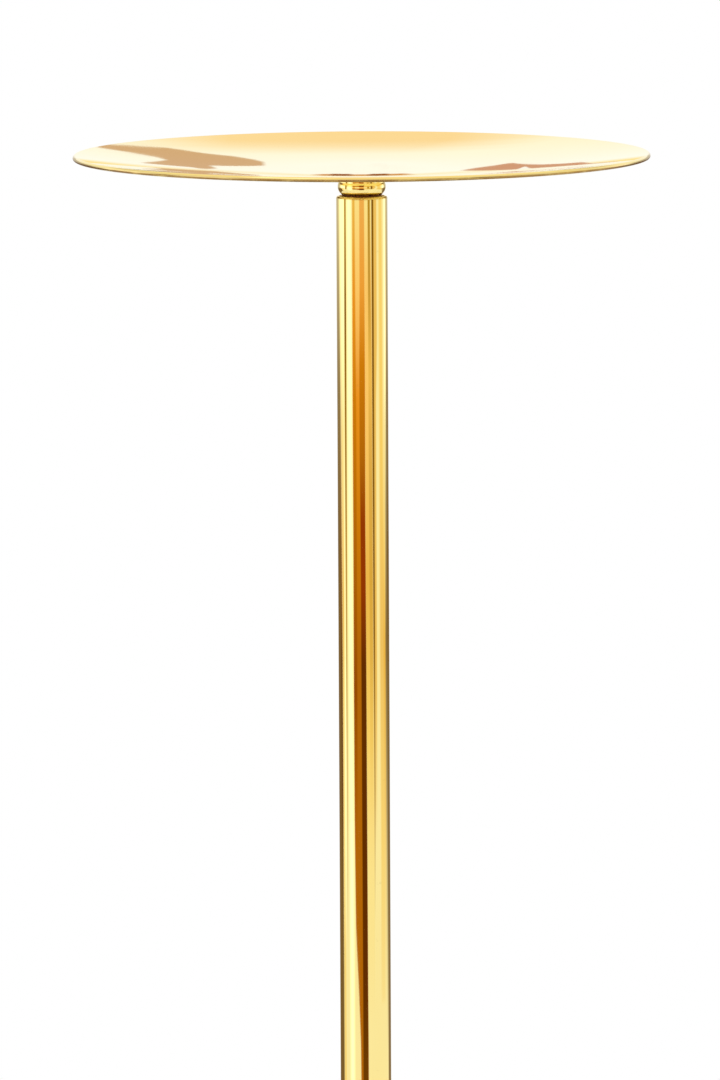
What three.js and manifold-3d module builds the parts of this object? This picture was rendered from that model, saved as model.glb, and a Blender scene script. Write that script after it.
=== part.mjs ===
// A polished brass candle stand: a wide shallow pan on a plain round column with a heavy round base.
// Millimetres, +Z up, origin on the floor under the middle of the base.

import * as THREE from 'three';
import { mergeVertices } from 'three/addons/utils/BufferGeometryUtils.js';
import Module from 'manifold-3d';

const wasm = await Module();
wasm.setup();

// ---------------------------------------------------------------- driving dimensions

const seatGap = 0.3; // between faces that bear on each other
const fitGap = 0.3; // all round a piece that is plugged or screwed into a bore
const cutPast = 1; // how far a cutting shape runs past the face that it cuts

// column
const tubeDiameter = 25.4;
const tubeWall = 1.5;
const lowerTubeLength = 520;
const upperTubeLength = 520;
const tubeTopRound = 1.2;
const tubeJointChamfer = 0.4;
const plugLength = 22;
const plugChamfer = 0.5;

// M10 hardware
const threadDiameter = 10;
const threadReach = 16; // how far a stud or the base bolt runs into a plug
const threadChamfer = 1;
const boltHeadAcrossFlats = 17;
const boltHeadHeight = 6.4;
const springWasherDiameter = 18;
const springWasherThickness = 2.6;
const springWasherSplit = 1.6;
const flatWasherDiameter = 21;
const flatWasherThickness = 2;

// pan and neck
const panDiameter = 286;
const panWall = 1.2;
const panRise = 7.2; // how far the sheet climbs from the flat candle seat to the rim
const candleSeatDiameter = 60;
const rimRollDiameter = 2.4; // the sheet's edge is rolled under itself
const neckHeight = 11.3;
const neckDiameter = 23.8; // across the widest part of its bead
const neckBeadHeight = 3.7; // from the neck's lower edge up to the widest part
const neckUndercut = 1.7; // how far the bead draws in at the lower edge
const neckCoveRadius = 4;
const neckLandThickness = 1.2;
const neckTapDepth = 7.5;
const panStudReach = 14;
const neckWasherInset = 0.2; // from the neck's lower edge to the washer's edge
const neckWasherThickness = 0.4;

// base
const baseDiameter = 280;
const shellWall = 1.2;
const shellFloorGap = 1.2;
const shellShoulderRadius = 7;
const bossDiameter = 76; // the flat in the middle of the shell
const crownEdgeSlope = THREE.MathUtils.degToRad( 12 ); // of the crown where the shoulder begins
const weightWeb = 10; // iron left above the bolt's recess
const recessDiameter = 46;
const recessHeadroom = 1;
const boltClearance = 0.6;
const feltInset = 7.8; // from the skirt's inside to the felt's edge
const feltThickness = 3;
const coverInset = 6; // from the felt's edge to the steel cover's edge
const coverThickness = 2.5;
const footFlangeDiameter = 58;
const footFlangeThickness = 3;
const footSleeveWall = 4;
const footCollarHeight = 18;
const footCollarFloor = 4;
const footCollarRound = 1.5;

// M4 countersunk cover screws
const screwCount = 3;
const screwInset = 30; // from the cover's edge to the screws' axes
const screwDiameter = 4;
const screwLength = 14;
const screwHeadDiameter = 8;
const screwHeadHeight = 2.2;
const screwSlotWidth = 1;
const screwSlotDepth = 1;
const screwHoleSpare = 2; // the tapped holes are deeper than the screws by this

// how finely round shapes are faceted
const wideSides = 60;
const tubeSides = 40;
const plugSides = 32;
const threadSides = 24;
const screwSides = 16;
const arcSteps = 2; // a quarter-like arc is drawn with twice as many straight steps
const panSteps = 5;
const crownSteps = 4;
const rollSteps = 10;

// ---------------------------------------------------------------- sizes that follow

const threadRadius = threadDiameter / 2;
const tappedRadius = threadRadius + fitGap;
const clearRadius = threadRadius + boltClearance;
const tubeBoreRadius = tubeDiameter / 2 - tubeWall;
const plugRadius = tubeBoreRadius - fitGap;
const weightRecessDepth =
	recessHeadroom + boltHeadHeight + springWasherThickness + flatWasherThickness + 3 * seatGap;
const weightHeight = weightRecessDepth + weightWeb;
const feltRadius = baseDiameter / 2 - shellWall - feltInset;
const coverRadius = feltRadius - coverInset;
const neckFootRadius = neckDiameter / 2 - neckUndercut;
const screwCircleRadius = coverRadius - screwInset;

// heights above the floor, each piece one seat gap above what carries it
const coverHeight = feltThickness + seatGap;
const weightBottom = coverHeight + coverThickness + seatGap;
const shellTop = weightBottom + weightHeight + seatGap + shellWall;
const footCollarBottom = shellTop + seatGap;
const lowerTubeBottom = footCollarBottom + footCollarFloor + seatGap;
const lowerTubeTop = lowerTubeBottom + lowerTubeLength;
const upperTubeBottom = lowerTubeTop + seatGap;
const upperTubeTop = upperTubeBottom + upperTubeLength;
const neckWasherBottom = upperTubeTop + seatGap;
const neckBottom = neckWasherBottom + neckWasherThickness + seatGap;
const panBottom = neckBottom + neckHeight + seatGap;
const flatWasherBottom = weightBottom + weightRecessDepth - seatGap - flatWasherThickness;
const springWasherBottom = flatWasherBottom - seatGap - springWasherThickness;
const boltHeadTop = springWasherBottom - seatGap;

// ---------------------------------------------------------------- materials

const polishedBrass = { color: 0xf2c560, roughness: 0.08, metalness: 1 };
const turnedBrass = { color: 0xcfa24a, roughness: 0.35, metalness: 1 };
const zincSteel = { color: 0xb9bcc0, roughness: 0.35, metalness: 1 };
const castIron = { color: 0x3b3a39, roughness: 0.75, metalness: 0.6 };
const brownFibre = { color: 0x7a4420, roughness: 0.7, metalness: 0 };
const greenFelt = { color: 0x24402f, roughness: 1, metalness: 0 };

// ---------------------------------------------------------------- solids

// Turns a half section, drawn as radius and height, about the Z axis. A section that doesn't
// start on the axis is closed into a ring.
function turned( section, sides ) {

	const points = section.map( ( p ) => p.clone() );
	if ( points[ 0 ].x > 0 ) points.push( points[ 0 ].clone() );
	if ( THREE.ShapeUtils.isClockWise( points ) ) points.reverse();
	return new THREE.LatheGeometry( points, sides ).rotateX( Math.PI / 2 );

}

function turnedPath( path, sides ) {

	return turned( path.getPoints( arcSteps ), sides );

}

// A boolean solid from a closed geometry.
function solidOf( geometry ) {

	const bare = geometry.index ? geometry.toNonIndexed() : geometry.clone();
	bare.deleteAttribute( 'normal' );
	bare.deleteAttribute( 'uv' );
	const merged = mergeVertices( bare, 1e-3 );
	const corners = merged.index.array;
	const triVerts = [];
	for ( let i = 0; i < corners.length; i += 3 ) {

		const [ a, b, c ] = corners.slice( i, i + 3 );
		if ( a !== b && b !== c && c !== a ) triVerts.push( a, b, c );

	}

	return new wasm.Manifold( new wasm.Mesh( {
		numProp: 3,
		vertProperties: new Float32Array( merged.attributes.position.array ),
		triVerts: new Uint32Array( triVerts ),
	} ) );

}

function geometryOf( solid ) {

	const mesh = solid.getMesh();
	const geometry = new THREE.BufferGeometry();
	geometry.setAttribute( 'position', new THREE.BufferAttribute( mesh.vertProperties, 3 ) );
	geometry.setIndex( new THREE.BufferAttribute( mesh.triVerts, 1 ) );
	geometry.computeVertexNormals();
	return geometry;

}

// An open outline moved sideways by a distance, to the right of the way it runs.
function inset( outline, distance ) {

	const normals = outline.slice( 1 ).map( ( p, i ) => {

		const along = p.clone().sub( outline[ i ] ).normalize();
		return new THREE.Vector2( along.y, - along.x );

	} );
	return outline.map( ( p, i ) => {

		const before = normals[ Math.max( i - 1, 0 ) ];
		const after = normals[ Math.min( i, normals.length - 1 ) ];
		const middle = before.clone().add( after ).normalize();
		return p.clone().addScaledVector( middle, distance / middle.dot( before ) );

	} );

}

// A disc or plain ring, standing on z = 0, with its outer edges chamfered.
function ring( outerRadius, boreRadius, height, chamfer = 0, sides = threadSides ) {

	const path = new THREE.Path();
	path.moveTo( boreRadius, 0 );
	path.lineTo( outerRadius - chamfer, 0 );
	if ( chamfer ) path.lineTo( outerRadius, chamfer );
	path.lineTo( outerRadius, height - chamfer );
	if ( chamfer ) path.lineTo( outerRadius - chamfer, height );
	path.lineTo( boreRadius, height );
	return turnedPath( path, sides );

}

// ---------------------------------------------------------------- column

function tube( length, topRound ) {

	const radius = tubeDiameter / 2;
	const round = Math.min( topRound, 0.8 * tubeWall );
	const path = new THREE.Path();
	path.moveTo( tubeBoreRadius, 0 );
	path.lineTo( radius - tubeJointChamfer, 0 );
	path.lineTo( radius, tubeJointChamfer );
	path.lineTo( radius, length - round );
	path.absarc( radius - round, length - round, round, 0, Math.PI / 2, false );
	path.lineTo( tubeBoreRadius, length );
	return turnedPath( path, tubeSides );

}

function plug() {

	return ring( plugRadius, tappedRadius, plugLength, plugChamfer, plugSides );

}

function stud( length ) {

	return ring( threadRadius, 0, length, threadChamfer );

}

// ---------------------------------------------------------------- pan

// The pan is one spun sheet: a flat candle seat, then a slow upward curve whose edge is rolled
// under, so that the face runs smoothly over the rim. It stands on its flat underside.
function pan() {

	const seatRadius = candleSeatDiameter / 2;
	const rollRadius = rimRollDiameter / 2;
	const run = panDiameter / 2 - rollRadius - seatRadius;
	const rimSlope = Math.atan( 2 * panRise / run );

	const face = [ new THREE.Vector2( 0, panWall ) ];
	for ( let i = 0; i <= panSteps; i ++ ) {

		const out = i / panSteps * ( run - rimRollDiameter );
		face.push( new THREE.Vector2( seatRadius + out, panWall + panRise * ( out / run ) ** 2 ) );

	}

	const rollCentre = new THREE.Vector2(
		panDiameter / 2 - rollRadius,
		panWall + panRise - rollRadius / Math.cos( rimSlope )
	);
	const rollTurn = 1.5 * Math.PI + Math.asin( Math.max( - 1, 1 - panWall / rollRadius ) );
	const roll = [];
	for ( let i = 0; i <= rollSteps; i ++ ) {

		const turn = Math.PI / 2 + rimSlope - i / rollSteps * rollTurn;
		roll.push( new THREE.Vector2(
			rollCentre.x + rollRadius * Math.cos( turn ),
			rollCentre.y + rollRadius * Math.sin( turn )
		) );

	}

	const underside = inset( face, panWall ).reverse();
	return turned( [ ...face, ...roll, ...underside ], wideSides );

}

// The turned neck is a fat bead under a cove. It is soldered under the pan by its wide top and
// tapped from below for the stud.
function neck() {

	const bend = ( neckBeadHeight ** 2 + neckUndercut ** 2 ) / ( 2 * neckUndercut );
	const beadCentre = neckDiameter / 2 - bend;
	const coveBottom = neckHeight - neckLandThickness - neckCoveRadius;
	const beadStart = - Math.asin( neckBeadHeight / bend );
	const beadEnd = Math.asin( Math.min( 0.95, ( coveBottom - neckBeadHeight ) / bend ) );
	const landRadius = beadCentre + bend * Math.cos( beadEnd ) + neckCoveRadius;
	const path = new THREE.Path();
	path.moveTo( 0, neckTapDepth );
	path.lineTo( tappedRadius, neckTapDepth );
	path.lineTo( tappedRadius, 0 );
	path.lineTo( neckFootRadius, 0 );
	path.absarc( beadCentre, neckBeadHeight, bend, beadStart, beadEnd, false );
	path.absarc( landRadius, coveBottom, neckCoveRadius, Math.PI, Math.PI / 2, true );
	path.lineTo( landRadius, neckHeight );
	path.lineTo( 0, neckHeight );
	return turnedPath( path, tubeSides );

}

// ---------------------------------------------------------------- base

// The crown of the base from its middle out and down to the foot of the skirt, above the skirt's
// edge: a flat boss, a slow downward curve like the pan's, a round shoulder and an upright skirt.
function crownOutline() {

	const bossRadius = bossDiameter / 2;
	const top = shellTop - shellFloorGap;
	const skirtRadius = baseDiameter / 2;
	const shoulderX = skirtRadius - shellShoulderRadius;
	const run = shoulderX + shellShoulderRadius * Math.sin( crownEdgeSlope ) - bossRadius;
	const drop = run * Math.tan( crownEdgeSlope ) / 2;
	const shoulderY = top - drop - shellShoulderRadius * Math.cos( crownEdgeSlope );
	const outline = [ new THREE.Vector2( 0, top ) ];
	for ( let i = 0; i <= crownSteps; i ++ ) {

		const share = i / crownSteps;
		outline.push( new THREE.Vector2( bossRadius + share * run, top - drop * share ** 2 ) );

	}

	const shoulder = new THREE.Path();
	shoulder.absarc( shoulderX, shoulderY, shellShoulderRadius, Math.PI / 2 - crownEdgeSlope, 0, true );
	outline.push( ...shoulder.getPoints( arcSteps ).slice( 1 ) );
	outline.push( new THREE.Vector2( skirtRadius, 0 ) );
	return outline;

}

// Starts an outline that runs out from the axis at a bore instead.
function bored( outline, boreRadius ) {

	return [ new THREE.Vector2( boreRadius, outline[ 0 ].y ), ...outline.slice( 1 ) ];

}

function baseShell() {

	const outline = crownOutline();
	const outside = bored( outline, clearRadius );
	const inside = bored( inset( outline, shellWall ), clearRadius ).reverse();
	return turned( [ ...outside, ...inside ], wideSides );

}

function screwPlaces() {

	return Array.from( { length: screwCount }, ( _, i ) => {

		const angle = i / screwCount * 2 * Math.PI + Math.PI / 2;
		return new THREE.Vector2( Math.cos( angle ), Math.sin( angle ) )
			.multiplyScalar( screwCircleRadius );

	} );

}

// The iron casting fills the shell, one seat gap inside it. The bolt's head and washers sit in a
// recess in its underside, and the cover's screws go into tapped holes.
function baseWeight() {

	const foot = weightBottom - shellFloorGap;
	const crown = inset( crownOutline(), shellWall + seatGap );
	const top = bored( crown, clearRadius );
	top[ top.length - 1 ].y = foot;
	const section = [
		...top,
		new THREE.Vector2( recessDiameter / 2, foot ),
		new THREE.Vector2( recessDiameter / 2, foot + weightRecessDepth ),
		new THREE.Vector2( clearRadius, foot + weightRecessDepth ),
	];
	let casting = solidOf( turned( section, wideSides ).translate( 0, 0, - foot ) );
	const depth = screwLength - coverThickness + screwHoleSpare;
	for ( const place of screwPlaces() ) {

		const hole = ring( screwDiameter / 2 + fitGap, 0, depth + cutPast, 0, screwSides );
		casting = casting.subtract( solidOf( hole.translate( place.x, place.y, - cutPast ) ) );

	}

	return geometryOf( casting );

}

// The outline shared by a countersunk screw and the hole it sits in, head down. A hole's outline
// starts some way below the head, so that it cuts cleanly through the face.
function countersunk( length, clearance, below = 0 ) {

	const head = screwHeadDiameter / 2 + clearance;
	const shank = screwDiameter / 2 + clearance;
	const path = new THREE.Path();
	path.moveTo( 0, - below );
	path.lineTo( head, - below );
	if ( below ) path.lineTo( head, 0 );
	path.lineTo( shank, screwHeadHeight );
	path.lineTo( shank, length );
	path.lineTo( 0, length );
	return turnedPath( path, screwSides );

}

function baseCover() {

	let disc = solidOf( ring( coverRadius, 0, coverThickness, 0, wideSides ) );
	for ( const place of screwPlaces() ) {

		const hole = countersunk( coverThickness + cutPast, fitGap, cutPast );
		disc = disc.subtract( solidOf( hole.translate( place.x, place.y, 0 ) ) );

	}

	return geometryOf( disc );

}

function coverScrew() {

	const slotLength = screwHeadDiameter + cutPast;
	const slot = new THREE.BoxGeometry( slotLength, screwSlotWidth, 2 * screwSlotDepth );
	return geometryOf( solidOf( countersunk( screwLength, 0 ) ).subtract( solidOf( slot ) ) );

}

// A hexagon-head bolt, its head's underside at z = 0 and its thread pointing up.
function baseBolt() {

	const shankTop = lowerTubeBottom + threadReach - boltHeadTop;
	const acrossCorners = boltHeadAcrossFlats / Math.cos( Math.PI / 6 );
	const head = new THREE.CylinderGeometry( acrossCorners / 2, acrossCorners / 2, boltHeadHeight, 6 )
		.rotateX( Math.PI / 2 )
		.translate( 0, 0, - boltHeadHeight / 2 );
	const shank = stud( shankTop + threadChamfer ).translate( 0, 0, - threadChamfer );
	return geometryOf( solidOf( head ).add( solidOf( shank ) ) );

}

function springWasher() {

	const washer = ring( springWasherDiameter / 2, clearRadius, springWasherThickness );
	const split = new THREE.BoxGeometry( springWasherDiameter, springWasherSplit, 4 * springWasherThickness )
		.translate( springWasherDiameter / 2, 0, 0 );
	return geometryOf( solidOf( washer ).subtract( solidOf( split ) ) );

}

// The cup under the column: a flange on the shell, a cove, and a sleeve that the tube stands in.
function footCollar() {

	const flangeRadius = footFlangeDiameter / 2;
	const bore = tubeDiameter / 2 + fitGap;
	const sleeve = bore + footSleeveWall;
	const cove = flangeRadius - sleeve - footCollarRound;
	const path = new THREE.Path();
	path.moveTo( clearRadius, 0 );
	path.lineTo( flangeRadius, 0 );
	path.lineTo( flangeRadius, footFlangeThickness - footCollarRound );
	path.absarc( flangeRadius - footCollarRound, footFlangeThickness - footCollarRound,
		footCollarRound, 0, Math.PI / 2, false );
	path.absellipse( sleeve + cove, footCollarHeight - footCollarRound, cove,
		footCollarHeight - footCollarRound - footFlangeThickness, 1.5 * Math.PI, Math.PI, true );
	path.absarc( sleeve - footCollarRound, footCollarHeight - footCollarRound,
		footCollarRound, 0, Math.PI / 2, false );
	path.lineTo( bore, footCollarHeight );
	path.lineTo( bore, footCollarFloor );
	path.lineTo( clearRadius, footCollarFloor );
	return turnedPath( path, tubeSides );

}

// ---------------------------------------------------------------- the stand

const stand = new THREE.Group();
const base = new THREE.Group();
const column = new THREE.Group();
const head = new THREE.Group();
stand.add( base, column, head );

function place( group, name, geometry, finish, height, x = 0, y = 0 ) {

	const mesh = new THREE.Mesh( geometry, new THREE.MeshStandardMaterial( finish ) );
	mesh.name = name;
	mesh.position.set( x, y, height );
	group.add( mesh );

}

const felt = ring( feltRadius, 0, feltThickness, 0, wideSides );
const flatWasher = ring( flatWasherDiameter / 2, clearRadius, flatWasherThickness );
place( base, 'felt_pad', felt, greenFelt, 0 );
place( base, 'base_cover', baseCover(), zincSteel, coverHeight );
screwPlaces().forEach( ( at, i ) => {

	place( base, `cover_screw_${ i + 1 }`, coverScrew(), zincSteel, coverHeight, at.x, at.y );

} );
place( base, 'base_weight', baseWeight(), castIron, weightBottom );
place( base, 'base_bolt', baseBolt(), zincSteel, boltHeadTop );
place( base, 'spring_washer', springWasher(), zincSteel, springWasherBottom );
place( base, 'flat_washer', flatWasher, zincSteel, flatWasherBottom );
place( base, 'base_shell', baseShell(), polishedBrass, shellFloorGap );
place( base, 'foot_collar', footCollar(), polishedBrass, footCollarBottom );

const jointStud = stud( 2 * threadReach + seatGap );
place( column, 'lower_tube', tube( lowerTubeLength, tubeJointChamfer ), polishedBrass, lowerTubeBottom );
place( column, 'lower_tube_foot_plug', plug(), turnedBrass, lowerTubeBottom );
place( column, 'lower_tube_head_plug', plug(), turnedBrass, lowerTubeTop - plugLength );
place( column, 'joint_stud', jointStud, zincSteel, lowerTubeTop - threadReach );
place( column, 'upper_tube', tube( upperTubeLength, tubeTopRound ), polishedBrass, upperTubeBottom );
place( column, 'upper_tube_foot_plug', plug(), turnedBrass, upperTubeBottom );
place( column, 'upper_tube_head_plug', plug(), turnedBrass, upperTubeTop - plugLength );

const panStudBottom = upperTubeTop - panStudReach;
const panStud = stud( neckBottom + neckTapDepth - seatGap - panStudBottom );
const neckWasher = ring( neckFootRadius - neckWasherInset, tappedRadius, neckWasherThickness );
place( head, 'pan_stud', panStud, zincSteel, panStudBottom );
place( head, 'neck_washer', neckWasher, brownFibre, neckWasherBottom );
place( head, 'pan_neck', neck(), polishedBrass, neckBottom );
place( head, 'pan', pan(), polishedBrass, panBottom );

export default stand;
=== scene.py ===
"""The looks of a polished brass candle stand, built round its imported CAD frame.

Lengths are in metres, in the frame's own axes: +Z goes up the column and -Y faces the viewer.
"""

import math

import bpy
from bpy.props import FloatProperty, FloatVectorProperty, IntProperty, PointerProperty
from bpy.types import Operator, Panel, PropertyGroup
from mathutils import Matrix, Vector, noise


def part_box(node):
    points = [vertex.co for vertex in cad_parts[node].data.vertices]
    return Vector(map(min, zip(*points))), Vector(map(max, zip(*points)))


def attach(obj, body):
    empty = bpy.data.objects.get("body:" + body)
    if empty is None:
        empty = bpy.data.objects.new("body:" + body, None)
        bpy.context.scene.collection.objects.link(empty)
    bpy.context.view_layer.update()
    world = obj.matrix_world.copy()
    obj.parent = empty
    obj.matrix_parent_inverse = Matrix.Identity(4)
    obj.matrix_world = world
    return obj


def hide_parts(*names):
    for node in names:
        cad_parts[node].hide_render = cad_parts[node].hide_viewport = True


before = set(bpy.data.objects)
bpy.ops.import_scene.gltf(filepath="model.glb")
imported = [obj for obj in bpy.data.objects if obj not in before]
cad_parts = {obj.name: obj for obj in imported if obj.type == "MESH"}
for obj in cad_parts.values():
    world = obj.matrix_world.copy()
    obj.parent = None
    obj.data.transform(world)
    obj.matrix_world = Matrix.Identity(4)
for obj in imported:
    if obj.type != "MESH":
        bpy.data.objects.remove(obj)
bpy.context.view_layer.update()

bl_info = {
    "name": "Brass candle stand",
    "version": (1, 0, 0),
    "blender": (4, 5, 0),
    "location": "3D View > Sidebar > Candle stand",
    "description": "Models and finishes a tall brass candle stand round its CAD frame",
    "category": "Add Mesh",
}

MM = 0.001
UM = 0.001 * MM


# ---------------------------------------------------------------- settings


def length(name, default, about):
    return FloatProperty(
        name=name, description=about, default=default, min=0, unit="LENGTH", precision=4
    )


def angle(name, degrees, about):
    return FloatProperty(
        name=name, description=about, default=math.radians(degrees), unit="ROTATION"
    )


def colour(name, default, about):
    return FloatVectorProperty(
        name=name, description=about, default=default, min=0, max=2, subtype="COLOR"
    )


def share(name, default, about):
    return FloatProperty(
        name=name, description=about, default=default, min=0, max=1, subtype="FACTOR"
    )


class PanSettings(PropertyGroup):
    diameter: length("Diameter", 2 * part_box("pan")[1].x, "Across the outside of the rim")
    wall: length("Wall", 1.2 * MM, "Thickness of the spun sheet")
    seat: length("Candle seat", 60 * MM, "Across the flat middle")
    roll: length("Rim roll", 2.4 * MM, "Thickness of the edge that is rolled under")


class NeckSettings(PropertyGroup):
    diameter: length("Diameter", 23.8 * MM, "Across the widest part of the bead")
    bead_low: length("Bead height", 3.7 * MM, "From the lower edge up to the widest part")
    undercut: length("Undercut", 1.7 * MM, "How far the bead draws in at its lower edge")
    land: length("Land", 1.2 * MM, "Thickness of the flange that is soldered under the pan")
    cove: length("Cove", 4 * MM, "Radius of the hollow under the flange")
    tap_depth: length("Tap depth", 7.5 * MM, "Depth of the threaded hole")
    thread: length("Thread", 10 * MM, "Outer diameter of the stud's thread")
    pitch: length("Pitch", 1.5 * MM, "Height of one turn of the thread")
    clearance: length("Clearance", 0.3 * MM, "Gap between the thread and the holes round it")
    solder: length("Solder", 0.5 * MM, "Thickness of the solder round the flange")
    washer_round: length("Washer round", 0.15 * MM, "Radius of the squeezed washer's edge")


class ColumnSettings(PropertyGroup):
    diameter: length("Diameter", 25.4 * MM, "Across the tubes")
    wall: length("Wall", 1.5 * MM, "Thickness of the tubes")
    top_round: length("Top round", 1.2 * MM, "Radius of the edge under the neck")
    joint_round: length("Joint round", 0.4 * MM, "Radius of the edges at the joint")
    bore_round: length("Bore round", 0.15 * MM, "Radius of the tubes' inner edges")


class BaseSettings(PropertyGroup):
    diameter: length("Diameter", 2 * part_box("base_shell")[1].x, "Across the skirt")
    wall: length("Wall", 1.2 * MM, "Thickness of the spun shell")
    boss: length("Boss", 76 * MM, "Across the flat middle of the shell")
    slope: angle("Edge slope", 12, "Slope of the crown where the shoulder begins")
    shoulder: length("Shoulder", 7 * MM, "Radius of the round shoulder")
    bore: length("Bore", 11.2 * MM, "Across the hole for the bolt")
    flange: length("Collar flange", 58 * MM, "Across the foot of the collar")
    flange_height: length("Flange height", 3 * MM, "Thickness of the collar's foot")
    sleeve: length("Collar sleeve", 34 * MM, "Across the sleeve round the column")
    collar_round: length("Collar round", 1.5 * MM, "Radius of the collar's rounded edges")
    collar_floor: length("Collar floor", 4 * MM, "Thickness of the collar under the column")
    fit: length("Fit", 0.3 * MM, "Gap between the column and the collar")
    felt_fuzz: length("Felt fuzz", 0.35 * MM, "How unevenly the felt is cut")


class FinishSettings(PropertyGroup):
    brass: colour("Brass", (0.98, 0.82, 0.34), "Clean polished brass")
    brass_deep: colour("Deep brass", (0.95, 0.73, 0.24), "Where the polish has warmed")
    warm_share: share("Warm share", 0.4, "How strongly the warmed patches show")
    # The tarnish tint also paints the shade on the lowest outer edge of the pan's rolled rim.
    tarnish_and_shade_tint: colour("Tarnish", (0.34, 0.19, 0.06), "Brown film in seams and spots")
    polish: share("Polish", 0.025, "Roughness of the clean mirror")
    smear: share("Smear", 0.025, "Roughness that wiping adds")
    scuff: share("Scuff", 0.01, "Roughness that the polishing lines add")
    dulling: share("Dulling", 0.3, "Roughness that the brown film adds")
    tarnish_share: share("Tarnish share", 0.15, "How strongly the brown spots show")
    film_line_share: share("Seam share", 0.6, "How strongly the film in the seams shows")
    # The film under the rim is partly tarnish and partly painted shade that darkens the rim's
    # lowest edge.
    rim_film_and_shade_share: share("Rim share", 1.0, "How strongly the film under the pan's rim shows")
    film_reach: length("Seam reach", 1.6 * MM, "How far the film spreads from a seam")
    turned: colour("Turned brass", (0.74, 0.54, 0.2), "Brass left as it was turned")
    zinc: colour("Zinc", (0.58, 0.59, 0.61), "Bright zinc plating")
    straw: colour("Straw", (0.62, 0.58, 0.47), "Where the plating has yellowed")
    iron: colour("Iron", (0.045, 0.043, 0.041), "Iron as cast")
    rust: colour("Rust", (0.13, 0.052, 0.022), "Rust on the cast iron")
    # Partly the washer's own brown and partly painted shade: the dark gap between the neck and
    # the tube.
    fibre_and_gap_shade: colour("Fibre", (0.3, 0.085, 0.012), "Vulcanised fibre")
    felt: colour("Felt", (0.018, 0.055, 0.03), "Wool felt")
    solder: colour("Solder", (0.55, 0.53, 0.48), "Soft solder")


class StudioSettings(PropertyGroup):
    distance: length("Camera distance", 4.0, "From the camera to the middle of the rim")
    drop: length("Drop", 1.3 * MM, "How far the middle of the rim is below its top")
    elevation: angle("Elevation", 4.62, "How steeply the camera looks down on the rim")
    tilt: angle("Tilt", 7.343, "How far the camera is tipped down")
    roll: angle("Roll", 0.28, "How far the camera is turned about its own axis")
    lens: length("Lens", 269.07 * MM, "Focal length")
    sensor: length("Sensor", 36 * MM, "Width of the camera's sensor")
    aside: length("Aside", 1.7 * MM, "How far the camera stands to the left of the column")
    floor: colour("Floor", (0.88, 0.87, 0.85), "Pale floor")
    floor_radius: length("Floor radius", 2.6, "Where the floor has faded out")
    ambient: share("Ambient", 0.5, "Strength of the white room's own light")
    sides: IntProperty(
        name="Sides", description="How finely turned pieces are drawn", default=192, min=24
    )


class StandSettings(PropertyGroup):
    pan: PointerProperty(type=PanSettings)
    neck: PointerProperty(type=NeckSettings)
    column: PointerProperty(type=ColumnSettings)
    base: PointerProperty(type=BaseSettings)
    finish: PointerProperty(type=FinishSettings)
    studio: PointerProperty(type=StudioSettings)


# ---------------------------------------------------------------- shader maths


class Value:
    """A node's output. Arithmetic on it adds the Math nodes that work the answer out."""

    def __init__(self, graph, source):
        self.graph, self.source = graph, source

    def maths(self, operation, *values):
        return self.graph.add("ShaderNodeMath", {"operation": operation}, dict(enumerate(values)))

    def __add__(self, other):
        return self.maths("ADD", self, other)

    def __sub__(self, other):
        return self.maths("SUBTRACT", self, other)

    def __rsub__(self, other):
        return self.maths("SUBTRACT", other, self)

    def __mul__(self, other):
        return self.maths("MULTIPLY", self, other)

    def __abs__(self):
        return self.maths("ABSOLUTE", self)

    __radd__ = __add__

    def between(self, low, high):
        """0 at low, 1 at high, with a soft change in between."""
        settings = {"interpolation_type": "SMOOTHSTEP"}
        limits = {"Value": self, "From Min": low, "From Max": high}
        return self.graph.add("ShaderNodeMapRange", settings, limits)


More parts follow.
